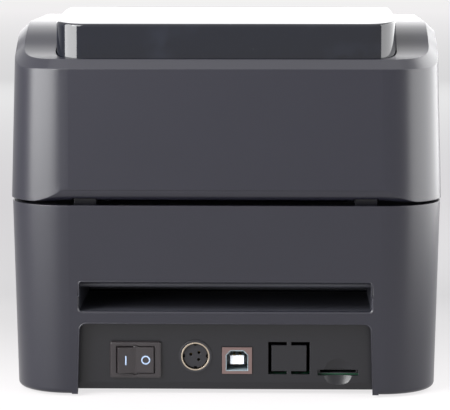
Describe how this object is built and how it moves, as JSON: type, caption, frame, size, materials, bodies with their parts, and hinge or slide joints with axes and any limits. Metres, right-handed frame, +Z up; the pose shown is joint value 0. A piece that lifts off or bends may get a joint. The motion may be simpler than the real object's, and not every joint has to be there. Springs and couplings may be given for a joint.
{
  "type": "label printer",
  "caption": "Desktop direct-thermal label printer with a hinged lid, a gloss hood, a fan-fold slot and a recessed rear panel with switch and sockets.",
  "frame": {"origin": "middle of the footprint, on the surface that the feet stand on", "axes": "+Z up, -Y towards the front where the labels leave, +Y towards the rear panel, +X to the right seen from the front"},
  "size_m": [0.1768, 0.2152, 0.155],
  "materials": {
    "shell": "fine texture",
    "hood_gloss": "gloss",
    "smoked": "smoked clear",
    "dark_plastic": "satin",
    "tray": "fine texture",
    "switch_plastic": "satin",
    "rubber": "matt",
    "steel": "satin",
    "zinc": "bright",
    "acetal": "natural",
    "board": "lacquered",
    "insulator": "satin",
    "alloy": "extruded",
    "brass": "turned",
    "lamp": "clear",
    "button_plastic": "satin"
  },
  "bodies": {
    "base": {"base_shell": "shell", "bottom_tray": "tray", "rubber_feet": "rubber", "tray_screws": "steel", "media_bay": "dark_plastic", "rack_cover": "dark_plastic", "switch_housing": "switch_plastic", "power_socket_body": "dark_plastic", "power_socket_shell": "zinc", "data_socket_shell": "zinc", "data_socket_tongue": "insulator", "main_board": "board", "card_socket": "steel", "platen_bushes": "acetal", "gear_bracket": "steel", "stepper_motor": "steel", "hinge_pins": "steel"},
    "rocker": {"power_rocker": "switch_plastic"},
    "platen": {"platen_shaft": "steel", "platen_rubber": "rubber", "platen_gear": "acetal"},
    "idler": {"idler_gear": "acetal"},
    "motor_drive": {"motor_shaft": "steel", "motor_pinion": "brass"},
    "right_guide": {"roll_guide_right": "dark_plastic"},
    "left_guide": {"roll_guide_left": "dark_plastic"},
    "right_hub": {"roll_hub_right": "acetal"},
    "left_hub": {"roll_hub_left": "acetal"},
    "pinion": {"guide_pinion": "acetal"},
    "lid": {"lid_shell": "shell", "hood": "hood_gloss", "hood_window": "smoked", "head_beam": "steel", "tear_bar": "steel", "status_lamps": "lamp", "control_board": "board"},
    "head": {"print_head": "alloy"},
    "button": {"feed_button": "button_plastic"},
    "right_latch": {"latch_tab_right": "dark_plastic"},
    "left_latch": {"latch_tab_left": "dark_plastic"}
  },
  "joints": [
    {"name": "lid_hinge", "type": "hinge", "parent": "base", "child": "lid", "pos_m": [0, 0.1025, 0.08465], "axis": [-1, 0, 0], "range_deg": [0, 88]},
    {"name": "head_lift", "type": "slide", "parent": "lid", "child": "head", "axis": [0, 0, 1], "range_m": [0, 0.0015], "stiffness_N_per_m": 1500, "springref_m": -0.002},
    {"name": "feed_press", "type": "slide", "parent": "lid", "child": "button", "axis": [0, 0.5259, -0.8506], "range_m": [0, 0.001], "stiffness_N_per_m": 300, "springref_m": -0.001},
    {"name": "right_latch_slide", "type": "slide", "parent": "lid", "child": "right_latch", "axis": [0, -1, 0], "range_m": [0, 0.004], "stiffness_N_per_m": 200, "springref_m": -0.004},
    {"name": "left_latch_slide", "type": "slide", "parent": "lid", "child": "left_latch", "axis": [0, -1, 0], "range_m": [0, 0.004], "stiffness_N_per_m": 200, "springref_m": -0.004},
    {"name": "rocker_tilt", "type": "hinge", "parent": "base", "child": "rocker", "pos_m": [0.0366, 0.1011, 0.0144], "axis": [0, 0, 1], "range_deg": [-16, 0]},
    {"name": "platen_spin", "type": "hinge", "parent": "base", "child": "platen", "pos_m": [0, -0.092, 0.0715], "axis": [1, 0, 0], "continuous": true},
    {"name": "idler_spin", "type": "hinge", "parent": "base", "child": "idler", "pos_m": [0.07, -0.07747, 0.05645], "axis": [1, 0, 0], "continuous": true},
    {"name": "motor_spin", "type": "hinge", "parent": "base", "child": "motor_drive", "pos_m": [0.07, -0.06489, 0.04513], "axis": [1, 0, 0], "continuous": true},
    {"name": "right_guide_slide", "type": "slide", "parent": "base", "child": "right_guide", "axis": [-1, 0, 0], "range_m": [0, 0.037]},
    {"name": "left_guide_slide", "type": "slide", "parent": "base", "child": "left_guide", "axis": [1, 0, 0], "range_m": [0, 0.037]},
    {"name": "guide_pinion_spin", "type": "hinge", "parent": "base", "child": "pinion", "pos_m": [0, 0.02, 0.0236], "axis": [0, 0, 1], "range_deg": [0, 266]},
    {"name": "right_hub_spin", "type": "hinge", "parent": "right_guide", "child": "right_hub", "pos_m": [0.048, 0.02, 0.088], "axis": [1, 0, 0], "continuous": true},
    {"name": "left_hub_spin", "type": "hinge", "parent": "left_guide", "child": "left_hub", "pos_m": [-0.048, 0.02, 0.088], "axis": [1, 0, 0], "continuous": true}
  ],
  "couplings": [
    {"joint": "idler_spin", "follows": "platen_spin", "ratio": -0.73333},
    {"joint": "motor_spin", "follows": "platen_spin", "ratio": 1.8333},
    {"joint": "left_guide_slide", "follows": "right_guide_slide", "ratio": 1},
    {"joint": "guide_pinion_spin", "follows": "right_guide_slide", "rad_per_m": 125}
  ]
}
